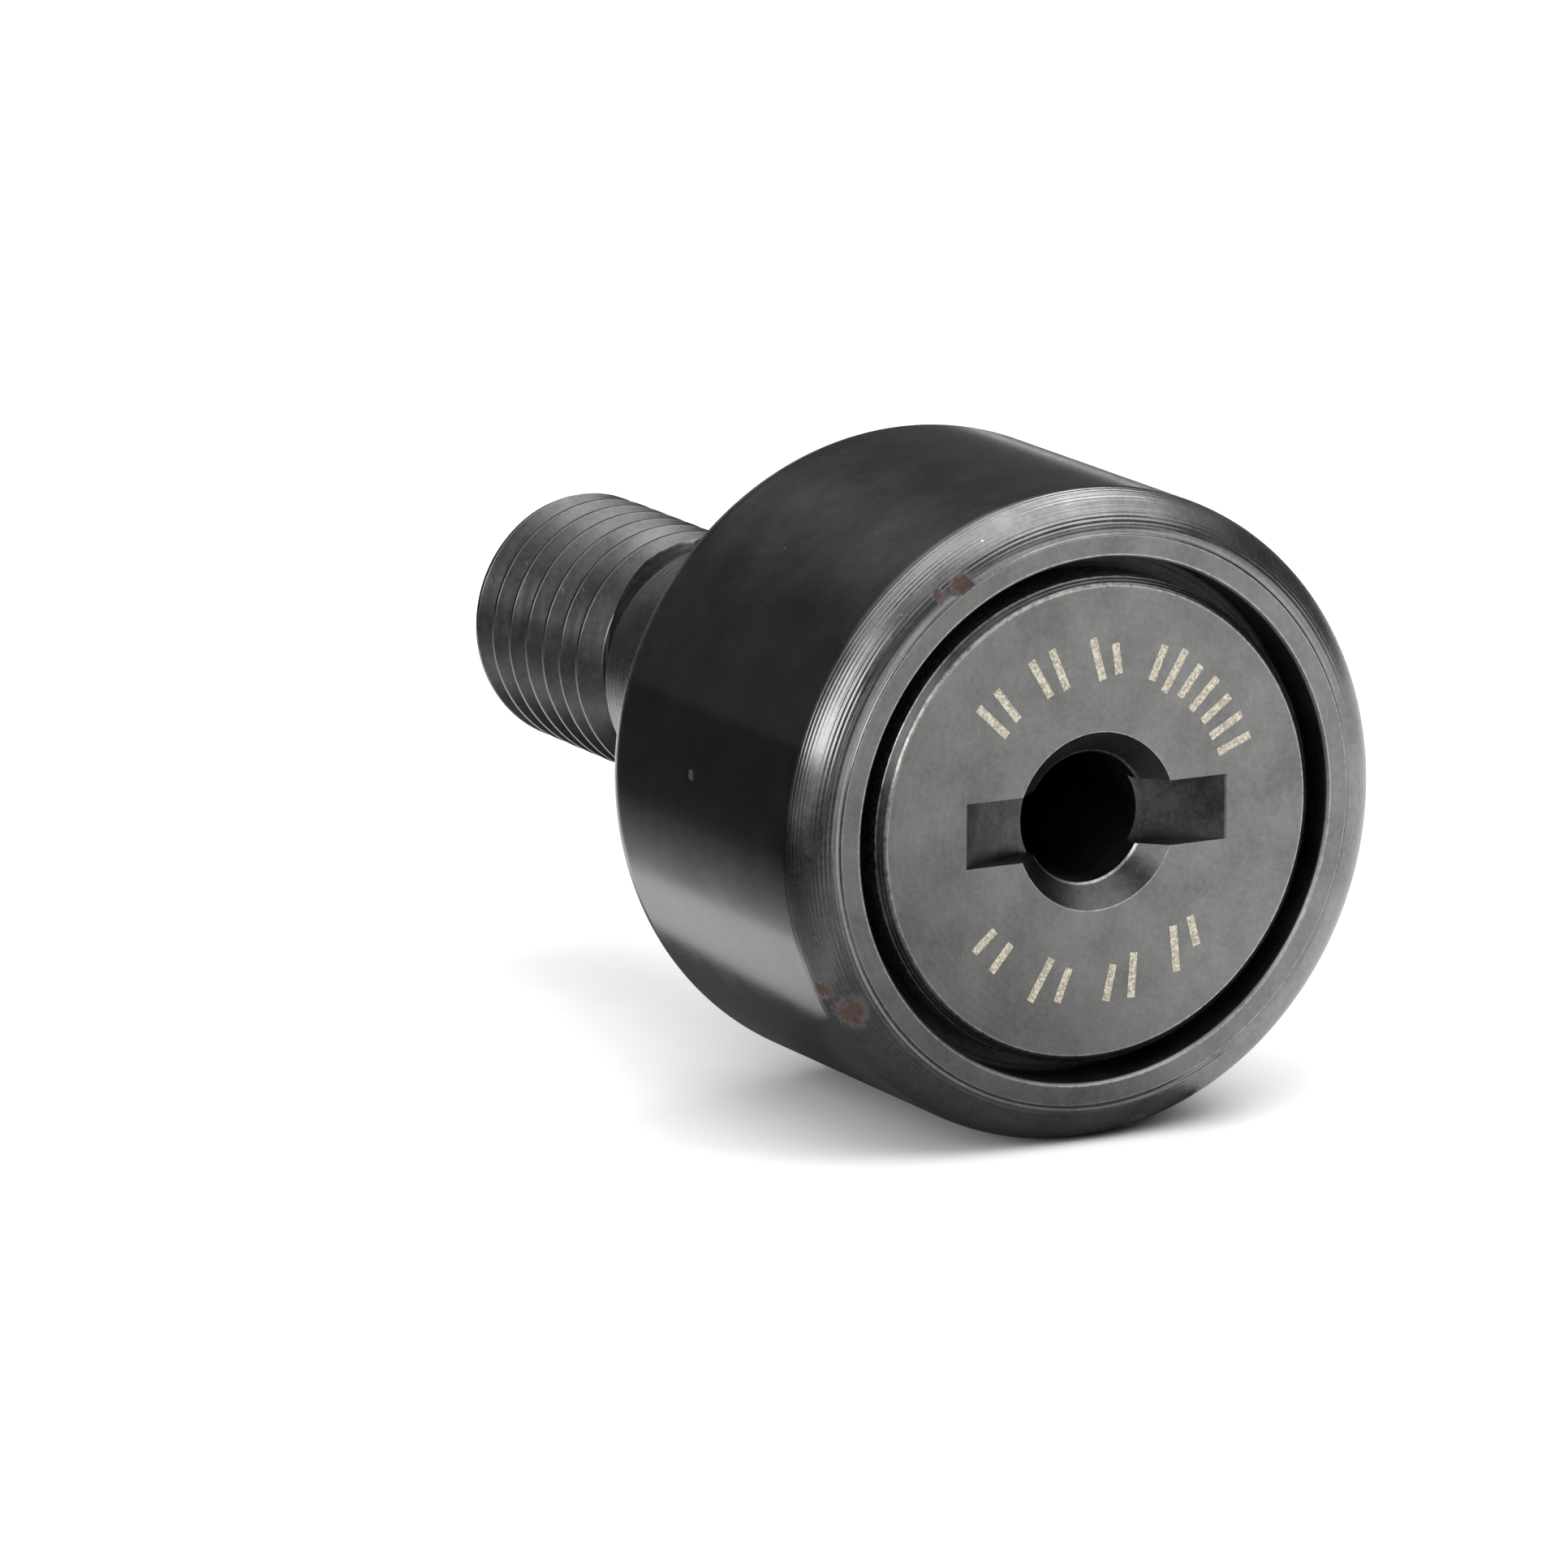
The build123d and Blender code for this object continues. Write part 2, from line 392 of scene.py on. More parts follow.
# %% The black oxide finish
def black_oxide(name, dark, light, roughness, spacing, depth, scratches, rust=(), worn=()):
    """Makes a black oxide finish. Spacing and depth of the tool's lines are in millimetres."""
    material, tree, shader = new_finish(name, metallic=1.0)
    in_mm, radius, along, rings = axis_coordinates(tree)
    grain, mottle = film_mottle(tree, in_mm)
    lines = tool_lines(tree, radius, along, rings, spacing)
    rubbed = rubbed_streaks(tree, in_mm, scratches)
    bare = bare_steel(tree, in_mm, radius, grain, worn)
    rusty = rust_patches(tree, in_mm, grain, rust)

    colour = mix_colour(tree, blend_between(tree, mottle, 0.38, 0.62), dark, light)
    colour = mix_colour(tree, compute(tree, "MULTIPLY", rubbed, 0.3), colour, "#B9B7B2")
    colour = mix_colour(tree, bare, colour, "#D0CEC8")
    if rust:
        colour = mix_colour(tree, rusty, colour, mix_colour(tree, grain, "#281A17", "#513933"))
        tree.links.new(compute(tree, "MULTIPLY_ADD", rusty, -0.85, 1.0), shader.inputs["Metallic"])
    tree.links.new(colour, shader.inputs["Base Color"])

    rough = compute(tree, "MULTIPLY_ADD", mottle, 0.25, roughness - 0.12)
    tree.links.new(compute(tree, "MULTIPLY_ADD", rusty, 0.4, rough), shader.inputs["Roughness"])
    height = compute(tree, "MULTIPLY", lines, depth)
    height = compute(tree, "MULTIPLY_ADD", grain, 0.0010, height)
    height = compute(tree, "MULTIPLY_ADD", rubbed, -0.002, height)
    bump = add(tree, "ShaderNodeBump", {"Height": height, "Distance": MM, "Strength": 1.0})
    tree.links.new(bump.outputs[0], shader.inputs["Normal"])
    return material


# %% [markdown]
# Each cut now gets its own film. The two colours are the film's greys, the first number is its
# roughness, and then come the spacing and depth of the tool's lines and the amount of scratches.
# Rust spots and worn edges are placed in millimetres.

# %% A finish for each cut
rust_spots = (((-3.7, -11.0, 6.1), 0.42), ((-4.3, -11.0, 5.9), 0.22), ((-6.5, -10.85, -4.0), 0.55),
              ((-7.1, -10.5, -3.5), 0.36), ((-7.9, -5.4, 0.8), 0.15), ((1.4, -10.7, -7.6), 0.32))
# Ground: the smoothest cut, so the film mirrors its surroundings in soft dark and light bands.
ring_tread = black_oxide("black_oxide_ground_steel", "#666667", "#747476", 0.17, 0.12, 0.0002, 0.1,
                         rust=rust_spots)
# Turned: fine lines round the axis, which break the highlight on the rounded corner into threads.
ring_turned = black_oxide("black_oxide_turned_steel", "#68686A", "#828283", 0.28, 0.14, 0.0040, 0.3,
                          rust=rust_spots)
# Lapped: even and matte, a soft mid grey in any light, with pale worn edges.
face_oxide = black_oxide("black_oxide_lapped_steel", "#6A6A69", "#858584", 0.46, 0.20, 0.0006, 0.6,
                         worn=((5.70, 0.03), (6.46, 0.03), (6.93, 0.03), (2.17, 0.03)))
# Chamfered: a narrow band with its grey darkened as painted shade, between two pale worn edges.
edge_painted_shade_oxide = black_oxide("black_oxide_chamfered_steel_painted_shade", "#3A3A3B", "#545455", 0.36, 0.12, 0.0030, 0.5,
                         worn=((5.73, 0.04), (5.92, 0.03), (1.62, 0.04)))
# Milled: coarse lines under a dull film, so the slot stays darker than the face round it.
slot_oxide = black_oxide("black_oxide_milled_steel", "#3A3A3B", "#5C5C5D", 0.42, 0.30, 0.0040, 0.6)
# Cut thread: satin, so each flank catches one line of light.
thread_oxide = black_oxide("black_oxide_threaded_steel", "#525253", "#6A6A6B", 0.30, 0.12, 0.0010, 0.2)
# Drawn: the bar's own smooth skin, with a long soft highlight.
shank_oxide = black_oxide("black_oxide_drawn_steel", "#68686A", "#7C7C7E", 0.28, 0.20, 0.0010, 0.3)
# Bored: a thick matte film, with its grey darkened as painted shade for a place that light hardly
# reaches, so the seam looks black.
recess_painted_shade_oxide = black_oxide("black_oxide_bored_steel_painted_shade", "#323233", "#4A4A4B", 0.5, 0.14, 0.0030, 0.0)
print("finishes:", [m.name for m in bpy.data.materials])

# %% [markdown]
# ## The outer ring
# The ring is the roller itself. Its outside is ground, its wide corners are turned, and its end
# faces carry a small step beside the corner. The flange and the end plate sink into a recess at
# each end, and the needles run on the track between the recesses. The outline goes once round the
# ring's section and ends where it began, so the turned shape is a closed solid.

# %% Turn the outer ring
ring_step = 0.03 * MM
step_radius = 6.98 * MM
corner_start = -pi / 2 + 0.239  # the angle at which the big corner meets the step


def big_corner(steps=20):
    """Points of the ring's big corner, as corners with no rounding of their own."""
    across, along = ring_radius - ring_corner, ring_front + ring_corner
    angles = [corner_start * (1 - i / steps) for i in range(steps + 1)]
    return [(across + ring_corner * cos(a), along + ring_corner * sin(a), 0) for a in angles]


def mirrored(corners):
    """The same corners at the other end of the ring, in the opposite order."""
    return [(across, 2 * ring_middle - along, rounding)
            for across, along, rounding in reversed(corners)]


front_half = [(track_radius, ring_middle, 0), (track_radius, track_front, 0.03 * MM),
              (recess_radius, track_front, 0),
              (recess_radius, ring_front + 0.08 * MM, 0.03 * MM),
              (recess_radius + 0.07 * MM, ring_front, 0.03 * MM),
              (step_radius - 0.05 * MM, ring_front, 0.02 * MM),
              (step_radius, ring_front + ring_step, 0.02 * MM), *big_corner(),
              (ring_radius, ring_front + ring_corner + 0.03 * MM, 0)]
ring_outline = outline("ring_outline", front_half + mirrored(front_half))
ring = run_tree("outer_ring_turned", lathe, ring_outline,
                {"Steps": turn_steps, "Finish": ring_tread})
print("ring faces:", len(ring.data.polygons))

# %% [markdown]
# One turned piece carries several cuts. Each face is given the finish of its cut by where it lies,
# so the border between the ground tread and the turned corner is a clean line, as a real one is.

# %% Give each cut its finish
def finish_by_place(piece, finishes, choose):
    """Sets each face's material slot from its centre's radius and place along the axis."""
    for finish in finishes:
        piece.data.materials.append(finish)
    for face in piece.data.polygons:
        centre = face.center
        face.material_index = choose(Vector((centre.x, centre.z)).length, centre.y, face.normal)


def ring_zone(radius, along, normal):
    """Slot numbers: 0 tread, 1 rounded corner, 2 end face, 3 inside."""
    end = min(along - ring_front, ring_back - along)
    if radius > ring_radius - 0.01 * MM and end > ring_corner * 0.9:
        return 0
    if radius > step_radius - 0.06 * MM:
        return 1
    return 2 if end < 0.05 * MM else 3


# The inside gets the bored finish, whose darker grey is painted shade.
finish_by_place(ring, [ring_turned, face_oxide, recess_painted_shade_oxide], ring_zone)


def sharpen(piece, degrees=35):
    """Marks edges sharper than an angle, so smooth shading stops at them. A face that lies
    square to an axis is shaded flat, so a rounding beside it doesn't bend its light."""
    work = bmesh.new()
    work.from_mesh(piece.data)
    for face in work.faces:
        face.smooth = max(abs(part) for part in face.normal) < 0.99999
    for edge in work.edges:
        edge.smooth = len(edge.link_faces) == 2 and edge.calc_face_angle() < radians(degrees)
    work.to_mesh(piece.data)
    work.free()


sharpen(ring)
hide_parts("outer_ring")
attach(ring, "outer_ring")

# %% [markdown]
# ## The thread
# A thread is an outline too, but it climbs by one pitch in each turn. A second tree makes a grid
# in which each row follows one helix, so the crest and the flanks have no steps in them. Where
# the thread runs out into the relief groove and into the chamfer at the tip, the tree keeps the
# smaller of the thread's radius and the cone's. A Screw modifier would make the turns quickly, but
# its ends would need cutting by hand.

# %% The thread tree
def thread_tree():
    """Sweeps an outline one pitch long along a helix, between two cones."""
    tree, given = shape_tree("Thread", {
        "Outline": "Geometry", "Pitch": "Float", "Turns": "Int", "Steps": "Int", "Start": "Float",
        "Low": "Float", "High": "Float", "Low Radius": "Float", "High Radius": "Float",
        "Low Slope": "Float", "Finish": "Material"})
    count = add(tree, "GeometryNodeAttributeDomainSize", {0: given["Outline"]}).outputs["Point Count"]
    in_pitch = compute(tree, "SUBTRACT", count, 1)
    rows = compute(tree, "ADD", compute(tree, "MULTIPLY", in_pitch, given["Turns"]), 1)
    columns = compute(tree, "ADD", given["Steps"], 1)
    grid = add(tree, "GeometryNodeMeshGrid", {"Vertices X": rows, "Vertices Y": columns})
    row, column = rows_and_columns(tree, columns)
    turn = compute(tree, "FLOOR", compute(tree, "DIVIDE", compute(tree, "ADD", row, 0.5), in_pitch))
    in_turn = compute(tree, "SUBTRACT", row, compute(tree, "MULTIPLY", turn, in_pitch))
    section = add(tree, "ShaderNodeSeparateXYZ", {0: outline_point(tree, given, in_turn)}).outputs
    share = compute(tree, "DIVIDE", column, given["Steps"])
    climbed = compute(tree, "MULTIPLY_ADD", compute(tree, "ADD", turn, share), given["Pitch"],
                      compute(tree, "ADD", section[1], given["Start"]))
    along = compute(tree, "MINIMUM", compute(tree, "MAXIMUM", climbed, given["Low"]), given["High"])
    low_cone = compute(tree, "MULTIPLY_ADD", compute(tree, "SUBTRACT", along, given["Low"]),
                       given["Low Slope"], given["Low Radius"])
    high_cone = compute(tree, "ADD", compute(tree, "SUBTRACT", given["High"], along),
                        given["High Radius"])
    radius = compute(tree, "MINIMUM", section[0], compute(tree, "MINIMUM", low_cone, high_cone))
    flat = add(tree, "ShaderNodeCombineXYZ", {0: radius, 1: along}).outputs[0]
    close_tree(tree, given, swept_mesh(tree, grid.outputs["Mesh"], flat, share))
    return tree


# %% [markdown]
# The section is one pitch of a 60 degree inch thread, 28 turns to the inch, drawn from crest to
# crest. Its roots and crests are slightly rounded, as a die leaves them.

# %% Cut the thread
pitch = 25.4 / 28 * MM
thread_depth = 0.6134 * pitch
root_radius = shank_radius - thread_depth
thread_start = 7.9375 * MM
relief_radius = root_radius - 0.03 * MM
relief_side = 0.18 * MM
thread_low = thread_start + pitch - relief_side
half_root = pitch / 12
half_groove = half_root + thread_depth * tan(radians(30))
thread_section = outline("thread_section", [
    (shank_radius, 0, 0), (shank_radius, pitch / 2 - half_groove, 0.03 * MM),
    (root_radius, pitch / 2 - half_root, 0.05 * MM), (root_radius, pitch / 2 + half_root, 0.05 * MM),
    (shank_radius, pitch / 2 + half_groove, 0.03 * MM), (shank_radius, pitch, 0)],
    arc_steps=2, hold=0.008 * MM)
low_slope = (shank_radius - relief_radius) / relief_side
thread = run_tree("thread_surface", thread_tree(), thread_section, {
    "Pitch": pitch, "Turns": 10, "Steps": turn_steps,
    "Start": thread_start + pitch / 2 - 1.25 * pitch,
    "Low": thread_low, "High": stud_tip, "Low Radius": relief_radius,
    "High Radius": shank_radius - tip_chamfer, "Low Slope": low_slope, "Finish": thread_oxide})
print("thread faces:", len(thread.data.polygons))

# %% [markdown]
# ## The stud
# Everything on the stud was turned from one bar: the slotted flange in front, the track that the
# needles run on, the seat for the end plate, the plain shank and the threaded end. The outline
# stops where the thread begins and goes on at the tip, and the two meshes are then welded.

# %% Turn the stud and weld the thread to it
soft = 0.03 * MM
flange_edge = 0.22 * MM
stud_front_corners = [
    (0, hole_end + hole_radius * tan(radians(31)), 0), (hole_radius, hole_end, 0),
    (hole_radius, flange_front + countersink_radius - hole_radius, soft),
    (countersink_radius, flange_front, soft), (flange_radius - flange_edge, flange_front, 0.04 * MM),
    (flange_radius, flange_front + flange_edge, 0.04 * MM), (flange_radius, flange_back, soft),
    (raceway_radius, flange_back, 0), (raceway_radius, plate_inner, 0),
    (seat_radius, plate_inner, 0), (seat_radius, -0.12 * MM, 0.02 * MM),
    (seat_radius - 0.12 * MM, 0, 0.02 * MM), (shank_radius, 0, 0),
    (shank_radius, thread_start, soft), (relief_radius, thread_start + relief_side, 0.05 * MM),
    (relief_radius, thread_low, 0)]
stud = run_tree("stud_turned", lathe, outline("stud_outline", stud_front_corners),
                {"Steps": turn_steps, "Finish": ring_tread})
tip_corners = [(shank_radius - tip_chamfer, stud_tip, 0),
               (shank_radius - tip_chamfer - 0.03 * MM, stud_tip, 0), (0, stud_tip, 0)]
tip = run_tree("tip_turned", lathe, outline("tip_outline", tip_corners),
               {"Steps": turn_steps, "Finish": thread_oxide})


def count_open_edges(work):
    """Counts the edges that don't join two faces. A closed solid has none."""
    return sum(1 for edge in work.edges if len(edge.link_faces) != 2)


def weld(piece, others):
    """Adds other pieces' faces to a piece and merges the points that meet."""
    work = bmesh.new()
    for source in [piece] + others:
        work.from_mesh(source.data)
    bmesh.ops.remove_doubles(work, verts=work.verts, dist=2e-6)
    bmesh.ops.recalc_face_normals(work, faces=work.faces)
    print("open edges after welding:", count_open_edges(work))
    work.to_mesh(piece.data)
    work.free()
    for other in others:
        bpy.data.objects.remove(other)


weld(stud, [thread, tip])

# %% [markdown]
# ## Slot and holes
# The driver slot is plunged with a disc cutter, so its floor is an arc. A cutter-shaped mesh and an
# exact boolean cut it as the mill does. The cross hole that feeds oil to the needles is drilled
# the same way.

# %% Cut the slot
def round_cutter(name, radius, low, high, centre_along, steps=192):
    """A closed cylinder that stands along Z."""
    work = bmesh.new()
    spin = [radians(360 * i / steps) for i in range(steps)]
    rims = [[work.verts.new((radius * cos(a), centre_along + radius * sin(a), z)) for a in spin]
            for z in (low, high)]
    work.faces.new(rims[0])
    work.faces.new(rims[1])
    for i in range(steps):
        j = (i + 1) % steps
        work.faces.new((rims[0][i], rims[0][j], rims[1][j], rims[1][i]))
    bmesh.ops.recalc_face_normals(work, faces=work.faces)
    mesh = bpy.data.meshes.new(name)
    work.to_mesh(mesh)
    work.free()
    tool = bpy.data.objects.new(name, mesh)
    bpy.context.scene.collection.objects.link(tool)
    return tool


def cut(piece, tool):
    """Cuts a tool's shape out of a piece and removes the tool."""
    modifier = piece.modifiers.new("cut", "BOOLEAN")
    modifier.operation, modifier.solver, modifier.object = "DIFFERENCE", "EXACT", tool
    keep_result(piece)
    bpy.data.objects.remove(tool)


cutter_along = flange_front - (slot_cutter_radius ** 2 - (slot_length / 2) ** 2) ** 0.5
cut(stud, round_cutter("slot_cutter", slot_cutter_radius, -slot_width / 2, slot_width / 2,
                       cutter_along))
print("faces with the slot:", len(stud.data.polygons))

# %% [markdown]
# A milled edge is left sharp, so it is broken with a small bevel, which catches a thin line of
# light. Only the edges that lie on the front face, along the slot, are chosen.

# %% Break the slot's edges and drill the cross hole
def break_slot_edges(piece, size):
    """Breaks the slot's edges on the front face, as a deburring tool does."""
    work = bmesh.new()
    work.from_mesh(piece.data)

    def on_slot_edge(vertex):
        across, along, up = vertex.co
        beside = abs(abs(up) - slot_width / 2) < 1e-6 and abs(across) < slot_length / 2 + 1e-5
        ends = abs(abs(across) - slot_length / 2) < 1e-5 and abs(up) < slot_width / 2 + 1e-6
        return abs(along - flange_front) < 1e-6 and (beside or ends)

    rim = [edge for edge in work.edges if all(on_slot_edge(vertex) for vertex in edge.verts)
           and edge.calc_face_angle(0) > radians(20)]
    bmesh.ops.bevel(work, geom=rim, offset=size, segments=2, profile=0.5, affect="EDGES",
                    clamp_overlap=True)
    bmesh.ops.recalc_face_normals(work, faces=work.faces)
    print("slot edges broken:", len(rim), "open edges:", count_open_edges(work))
    work.to_mesh(piece.data)
    work.free()


break_slot_edges(stud, 0.035 * MM)
cross_along = (track_front + track_back) / 2
cut(stud, round_cutter("cross_drill", 0.6 * MM, -5 * MM, 5 * MM, cross_along, 32))

# %% [markdown]
# The stud has the most cuts of all. Its flange is lapped in front, with chamfers at the rim and at
# the hole, the slot is milled, and behind the roller come the drawn shank and the thread.

# %% Give the stud's cuts their finishes
def stud_zone(radius, along, normal):
    """Slot numbers: 0 needle track, 1 front face, 2 slot and hole, 3 thread, 4 shank, 5 chamfers."""
    if along < flange_front + 0.012 * MM:
        return 1
    if radius < slot_length / 2 + 0.1 * MM and along < hole_end + 2 * MM:
        return 5 if abs(normal.y + 0.707) < 0.08 else 2
    if radius > flange_radius - 0.5 * MM and along < flange_back:
        return 5
    return 3 if along > thread_start else 4 if along > 0 else 0


# The chamfers get the chamfered finish, whose darker grey is painted shade.
finish_by_place(stud, [face_oxide, slot_oxide, thread_oxide, shank_oxide, edge_painted_shade_oxide], stud_zone)
sharpen(stud)
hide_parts("stud")
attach(stud, "stud")
print("stud faces:", len(stud.data.polygons))

# %% [markdown]
# ## The end plate
# A hardened washer is pressed onto its seat behind the needles. It keeps them in, and its outside
# face is the shoulder that meets the lever.

# %% Turn the end plate
plate_edge = 0.2 * MM
plate_corners = [(seat_radius, plate_inner, 0), (plate_radius - plate_edge, plate_inner, soft),
                 (plate_radius, plate_inner + plate_edge, soft),
                 (plate_radius, plate_outer - plate_edge, soft),
                 (plate_radius - plate_edge, plate_outer, soft),
                 (seat_radius + 0.08 * MM, plate_outer, soft),
                 (seat_radius, plate_outer - 0.08 * MM, 0), (seat_radius, plate_inner, 0)]
plate = run_tree("end_plate_turned", lathe, outline("plate_outline", plate_corners),
                 {"Steps": turn_steps, "Finish": face_oxide})
sharpen(plate)
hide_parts("end_plate")
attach(plate, "stud")
print("end plate faces:", len(plate.data.polygons))

# %% [markdown]
# ## The needles
# Eighteen needles fill the space between the tracks, with no cage. They are bright, because they
# are ground and lapped after hardening and get no black oxide. Each needle turns on its own body,
# so each is its own piece.

# %% Bearing steel for the needles
def bright_steel(name):
    """Ground and lapped steel: bright and mirror-like, with fine bands across the needle."""
    material, tree, shader = new_finish(name, metallic=1.0)
    in_mm = axis_coordinates(tree)[0]
    bands = add(tree, "ShaderNodeMapping", {0: in_mm, "Scale": (0.4, 14, 0.4)}).outputs[0]
    field = add(tree, "ShaderNodeTexNoise", {"Vector": bands, "Scale": 1.0, "Detail": 4}).outputs[0]
    tree.links.new(mix_colour(tree, field, "#A9ABAE", "#C4C5C6"), shader.inputs["Base Color"])
    tree.links.new(compute(tree, "MULTIPLY_ADD", field, 0.12, 0.12), shader.inputs["Roughness"])
    height = add(tree, "ShaderNodeBump", {"Height": field, "Distance": 0.001 * MM, "Strength": 1.0})
    tree.links.new(height.outputs[0], shader.inputs["Normal"])
    return material


needle_steel = bright_steel("ground_bearing_steel")
end_round = 0.12 * MM
needle_corners = [(0, needle_low.y, 0), (needle_radius, needle_low.y, end_round),
                  (needle_radius, needle_high.y, end_round), (0, needle_high.y, 0)]
needle_outline = outline("needle_outline", needle_corners)
needle_names = sorted(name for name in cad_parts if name.startswith("needle_roller"))
for node in needle_names:
    low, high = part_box(node)
    centre = Vector(((low.x + high.x) / 2, 0, (low.z + high.z) / 2))
    needle = run_tree(node + "_ground", lathe, needle_outline,
                      {"Steps": 40, "Offset": centre, "Finish": needle_steel})
    sharpen(needle)
    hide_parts(node)
    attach(needle, node)
print("needles:", len(needle_names))

# %% [markdown]
# ## The etched marks
# The flange carries marks etched by laser, which burns the black film off and leaves a pale tan
# surface. Here they are plain bars in a fixed rhythm, with no meaning. A tree places one bar many
# times along two arcs, turned to face the centre, and realizes them as one thin piece.

# %% The marks tree
def marks_tree():
    """Places a bar at even steps along an arc and leaves a gap after every few."""
    tree, given = shape_tree("Marks", {
        "Bar": "Geometry", "Count": "Int", "Radius": "Float", "Front": "Float",
        "First Angle": "Float", "Last Angle": "Float", "Gap Every": "Int", "Seed": "Int",
        "Finish": "Material"})
    index = add(tree, "GeometryNodeInputIndex").outputs[0]
    share = compute(tree, "DIVIDE", index, compute(tree, "SUBTRACT", given["Count"], 1))
    span = compute(tree, "SUBTRACT", given["Last Angle"], given["First Angle"])
    angle = compute(tree, "MULTIPLY_ADD", share, span, given["First Angle"])
    across = compute(tree, "MULTIPLY", given["Radius"], compute(tree, "COSINE", angle))
    up = compute(tree, "MULTIPLY", given["Radius"], compute(tree, "SINE", angle))
    place = add(tree, "ShaderNodeCombineXYZ", {0: across, 1: given["Front"], 2: up}).outputs[0]
    points = add(tree, "GeometryNodeMeshLine", {"Count": given["Count"]}).outputs[0]
    set_out = add(tree, "GeometryNodeSetPosition", {"Geometry": points, "Position": place}).outputs[0]
    left = compute(tree, "MODULO", compute(tree, "ADD", index, 1), given["Gap Every"])
    gaps = compute(tree, "LESS_THAN", left, 0.5)
    kept = add(tree, "GeometryNodeDeleteGeometry", {"Geometry": set_out, "Selection": gaps}).outputs[0]
    facing = add(tree, "ShaderNodeCombineXYZ",
                 {1: compute(tree, "SUBTRACT", pi / 2, angle)}).outputs[0]
    height = add(tree, "FunctionNodeRandomValue", {2: 0.55, 3: 1.0, "Seed": given["Seed"]},
                 data_type="FLOAT").outputs[1]
    stretch = add(tree, "ShaderNodeCombineXYZ", {0: 1.0, 1: 1.0, 2: height}).outputs[0]
    copies = add(tree, "GeometryNodeInstanceOnPoints",
                 {"Points": kept, "Instance": given["Bar"], "Rotation": facing, "Scale": stretch})
    close_tree(tree, given, copies.outputs[0])
    return tree


marks = marks_tree()
print("marks tree nodes:", len(marks.nodes))

# %% [markdown]
# One bar is 0.2 mm wide, 1.15 mm high and 0.008 mm thick, a tenth of a hair. The laser melts the
# steel into fine grains that scatter the light, so the marks look pale and matte from every side.

# %% Etch the marks
def bar_mesh(width, height, thickness):
    """A thin bar with slightly bevelled edges, its long side along Z."""
    work = bmesh.new()
    bmesh.ops.create_cube(work, size=1, matrix=Matrix.Diagonal((width, thickness, height, 1)))
    bmesh.ops.bevel(work, geom=work.edges[:], offset=thickness * 0.2, segments=1, affect="EDGES")
    mesh = bpy.data.meshes.new("bar")
    work.to_mesh(mesh)
    work.free()
    return mesh


def etched_steel(name):
    """Laser-etched steel: matte and pale tan, in fine melted grains."""
    material, tree, shader = new_finish(name, metallic=0.35)
    in_mm = axis_coordinates(tree)[0]
    field = add(tree, "ShaderNodeTexNoise", {"Vector": in_mm, "Scale": 14, "Detail": 4,
                                              "Roughness": 0.75}).outputs[0]
    amount = blend_between(tree, field, 0.4, 0.62)
    tree.links.new(mix_colour(tree, amount, "#968E80", "#D6CFBE"), shader.inputs["Base Color"])
    tree.links.new(compute(tree, "MULTIPLY_ADD", amount, -0.2, 0.75), shader.inputs["Roughness"])
    rough = add(tree, "ShaderNodeBump", {"Height": field, "Distance": 0.02 * MM, "Strength": 1.0})
    tree.links.new(rough.outputs[0], shader.inputs["Normal"])
    return material


etched = etched_steel("laser_etched_steel")
mark_height = 0.008 * MM
bar = bar_mesh(0.2 * MM, 1.15 * MM, mark_height)
# name, count, radius in mm, first and last angle in degrees, gap after every, seed
mark_rows = [("upper_pairs", 8, 3.95, 136.5, 82.5, 3, 3), ("upper_group", 7, 4.05, 66, 22, 99, 5),
             ("lower_pairs", 12, 4.0, 220.5, 321.5, 3, 8)]
for name, count, place, first, last, gap, seed in mark_rows:
    row = run_tree(name, marks, bar, {
        "Count": count, "Radius": place * MM, "Front": flange_front - mark_height * 0.2,
        "First Angle": radians(first), "Last Angle": radians(last), "Gap Every": gap, "Seed": seed,
        "Finish": etched})
    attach(row, "stud")
print("rows of marks:", len(mark_rows))

# %% [markdown]
# ## Floor, light and camera
# The follower rests on a sheet of white paper, so the floor is just under the roller. Paper
# scatters light evenly, which gives the eye a soft contact shadow and nothing else to look at.

# %% Pale floor
def matte_paper(name):
    """Matte white paper: nearly even, with faint clouds of fibre a few millimetres wide."""
    material, tree, shader = new_finish(name)
    in_mm = axis_coordinates(tree)[0]
    field = add(tree, "ShaderNodeTexNoise", {"Vector": in_mm, "Scale": 0.4, "Detail": 3}).outputs[0]
    tree.links.new(mix_colour(tree, field, "#F4F4F3", "#FAFAF9"), shader.inputs["Base Color"])
    shader.inputs["Roughness"].default_value = 0.9
    shader.inputs["Specular IOR Level"].default_value = 0.1
    return material


def flat_sheet(name, corners, material):
    """A flat sheet of the stage with one material. Corners are in millimetres."""
    mesh = bpy.data.meshes.new(name)
    mesh.from_pydata([Vector(corner) * MM for corner in corners], [], [range(len(corners))])
    mesh.materials.append(material)
    sheet = bpy.data.objects.new(name, mesh)
    bpy.context.scene.collection.objects.link(sheet)
    return sheet


half, floor_level = 3000, -ring_radius / MM - 0.02
flat_sheet("floor", [(-half, -half, floor_level), (half, -half, floor_level),
                     (half, half, floor_level), (-half, half, floor_level)],
           matte_paper("matte_paper"))
print("floor level in mm:", round(floor_level, 4))

# %% [markdown]
# Polished dark steel shows what stands round it more than its own colour. A studio puts dark cards
# beside such a piece, so that it has something dark to mirror next to the pale floor. These cards
# are seen only in reflections. The two that lie on the floor are painted shadow: dark sheets that
# mirror as the floor's shadow in front of and under the roller. The side card goes from painted
# light at its foot to dark, so the light band on the tread has one soft edge and one sharp edge.

# %% Dark cards
card_foot, card_top = -7.9, 3


